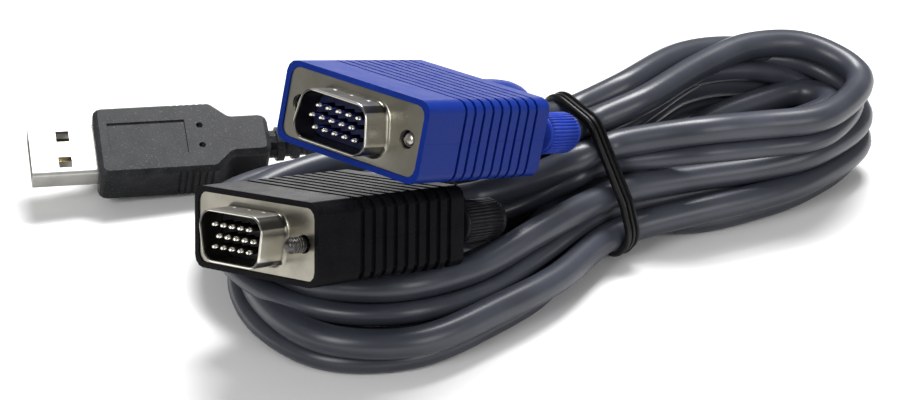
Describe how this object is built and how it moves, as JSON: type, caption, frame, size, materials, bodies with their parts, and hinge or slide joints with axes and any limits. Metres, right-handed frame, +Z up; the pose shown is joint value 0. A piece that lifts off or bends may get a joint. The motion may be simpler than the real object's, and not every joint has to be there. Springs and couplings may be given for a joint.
{
  "type": "kvm cable",
  "caption": "Keyboard, video and mouse cable: a blue and a black D plug with thumbscrews and a USB plug on a grey twin lead, folded into a hank and tied.",
  "frame": {"origin": "bottom centre of the whole object's box, on the table", "axes": "+Z up from the table; +X along the hank's length, from the USB plug to the far end of the loop; +Y away from the viewer of the picture"},
  "size_m": [0.1682, 0.0954, 0.0511],
  "materials": {
    "blue_moulding": "moulded PVC with a fine spark-eroded grain",
    "black_moulding": "moulded PVC with a fine spark-eroded grain",
    "usb_moulding": "moulded PVC with a fine grain",
    "plated_shell": "nickel plated sheet steel",
    "screw_steel": "plated screw steel",
    "gold_contacts": "gold flashed contacts",
    "blue_insulator": "navy moulded block",
    "black_insulator": "black moulded block",
    "usb_insulator": "white moulded tongue",
    "lead_jacket": "smooth slate grey PVC jacket with a soft sheen",
    "tie_plastic": "black extruded tie with ridges along it"
  },
  "bodies": {
    "cable": {"blue_hood": "blue_moulding", "blue_front_shell": "plated_shell", "blue_rear_shell": "plated_shell", "blue_insulator": "blue_insulator", "blue_pins": "gold_contacts", "black_hood": "black_moulding", "black_front_shell": "plated_shell", "black_rear_shell": "plated_shell", "black_insulator": "black_insulator", "black_pins": "gold_contacts", "usb_overmould": "usb_moulding", "usb_shell": "plated_shell", "usb_tongue": "usb_insulator", "usb_contacts": "gold_contacts", "cable_hank": "lead_jacket", "cable_tie": "tie_plastic", "blue_video_lead": "lead_jacket", "black_video_lead": "lead_jacket", "black_usb_lead": "lead_jacket", "usb_lead": "lead_jacket"},
    "blue_thumbscrew_left": {"blue_screw_left": "screw_steel", "blue_knob_left": "blue_moulding"},
    "blue_thumbscrew_right": {"blue_screw_right": "screw_steel", "blue_knob_right": "blue_moulding"},
    "black_thumbscrew_left": {"black_screw_left": "screw_steel", "black_knob_left": "black_moulding"},
    "black_thumbscrew_right": {"black_screw_right": "screw_steel", "black_knob_right": "black_moulding"}
  },
  "joints": [
    {"name": "blue_thumbscrew_left_turn", "type": "hinge", "parent": "cable", "child": "blue_thumbscrew_left", "pos_m": [0.01479, -0.00706, 0.03143], "axis": [0.6153, 0.7054, -0.3518], "continuous": true},
    {"name": "blue_thumbscrew_right_turn", "type": "hinge", "parent": "cable", "child": "blue_thumbscrew_right", "pos_m": [-0.00436, 0.00892, 0.02996], "axis": [0.6153, 0.7054, -0.3518], "continuous": true},
    {"name": "black_thumbscrew_left_turn", "type": "hinge", "parent": "cable", "child": "black_thumbscrew_left", "pos_m": [-0.01686, -0.00295, 0.01326], "axis": [0.7109, 0.6491, -0.2706], "continuous": true},
    {"name": "black_thumbscrew_right_turn", "type": "hinge", "parent": "cable", "child": "black_thumbscrew_right", "pos_m": [0.00071, -0.01948, 0.01977], "axis": [0.7109, 0.6491, -0.2706], "continuous": true}
  ]
}
